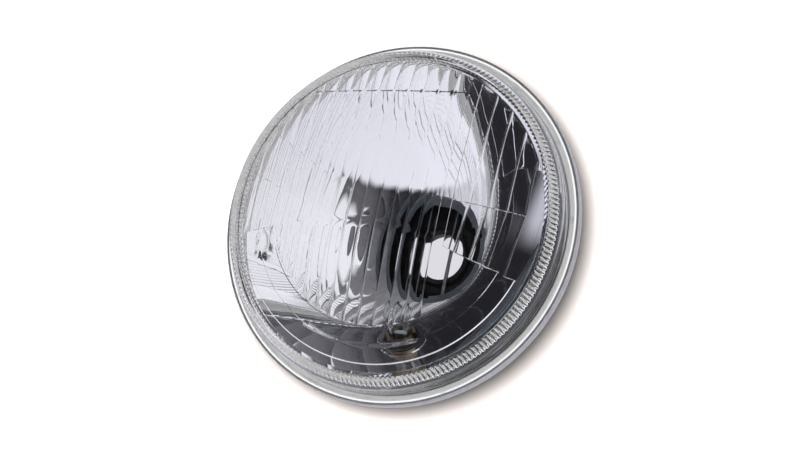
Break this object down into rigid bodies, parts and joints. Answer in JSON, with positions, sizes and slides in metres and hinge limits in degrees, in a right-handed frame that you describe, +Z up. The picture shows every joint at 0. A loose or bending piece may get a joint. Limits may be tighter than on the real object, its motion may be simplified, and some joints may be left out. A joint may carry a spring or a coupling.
{
  "type": "motorcycle headlight insert",
  "caption": "Round headlight insert: domed fluted glass bonded into a parabolic reflector, with a pilot lamp, a bulb seat under a wire clip and a rubber dust boot.",
  "frame": {"origin": "middle of the rim lip on the optical axis", "axes": "-Y the way the lens faces, +Z up as fitted, +X to the right seen from the front"},
  "size_m": [0.146, 0.0863, 0.146],
  "materials": {
    "lens_glass": "clear moulded glass",
    "sealant": "pale mottled sealant",
    "reflector_metal": "vacuum-metallised mirror",
    "zinc_steel": "blue zinc plate, satin",
    "rivet_steel": "satin",
    "spring_steel": "satin",
    "boot_rubber": "matt black rubber",
    "pilot_brass": "dull brass",
    "phenolic": "brown phenolic",
    "nickel": "nickel plate",
    "black_glass": "black glass, glossy",
    "solder": "solder, satin",
    "bulb_glass": "clear thin glass",
    "tungsten": "drawn wire"
  },
  "bodies": {
    "root": {"lens": "lens_glass", "lens_sealant": "sealant", "reflector": "reflector_metal", "seat_ring": "zinc_steel", "seat_rivets": "rivet_steel", "clip_bracket": "zinc_steel", "clip_hook": "zinc_steel", "clip_rivets": "rivet_steel", "bail_clip": "spring_steel", "dust_boot": "boot_rubber", "pilot_grommet": "boot_rubber", "pilot_socket": "pilot_brass", "pilot_earth_tab": "pilot_brass", "pilot_insulator": "phenolic", "pilot_contact": "pilot_brass", "pilot_contact_spring": "spring_steel", "pilot_bulb_base": "nickel", "pilot_bulb_pins": "nickel", "pilot_bulb_insulator": "black_glass", "pilot_bulb_solder": "solder", "pilot_bulb_glass": "bulb_glass", "pilot_filament_posts": "nickel", "pilot_filament": "tungsten", "pilot_bulb_bead": "bulb_glass"}
  },
  "joints": []
}
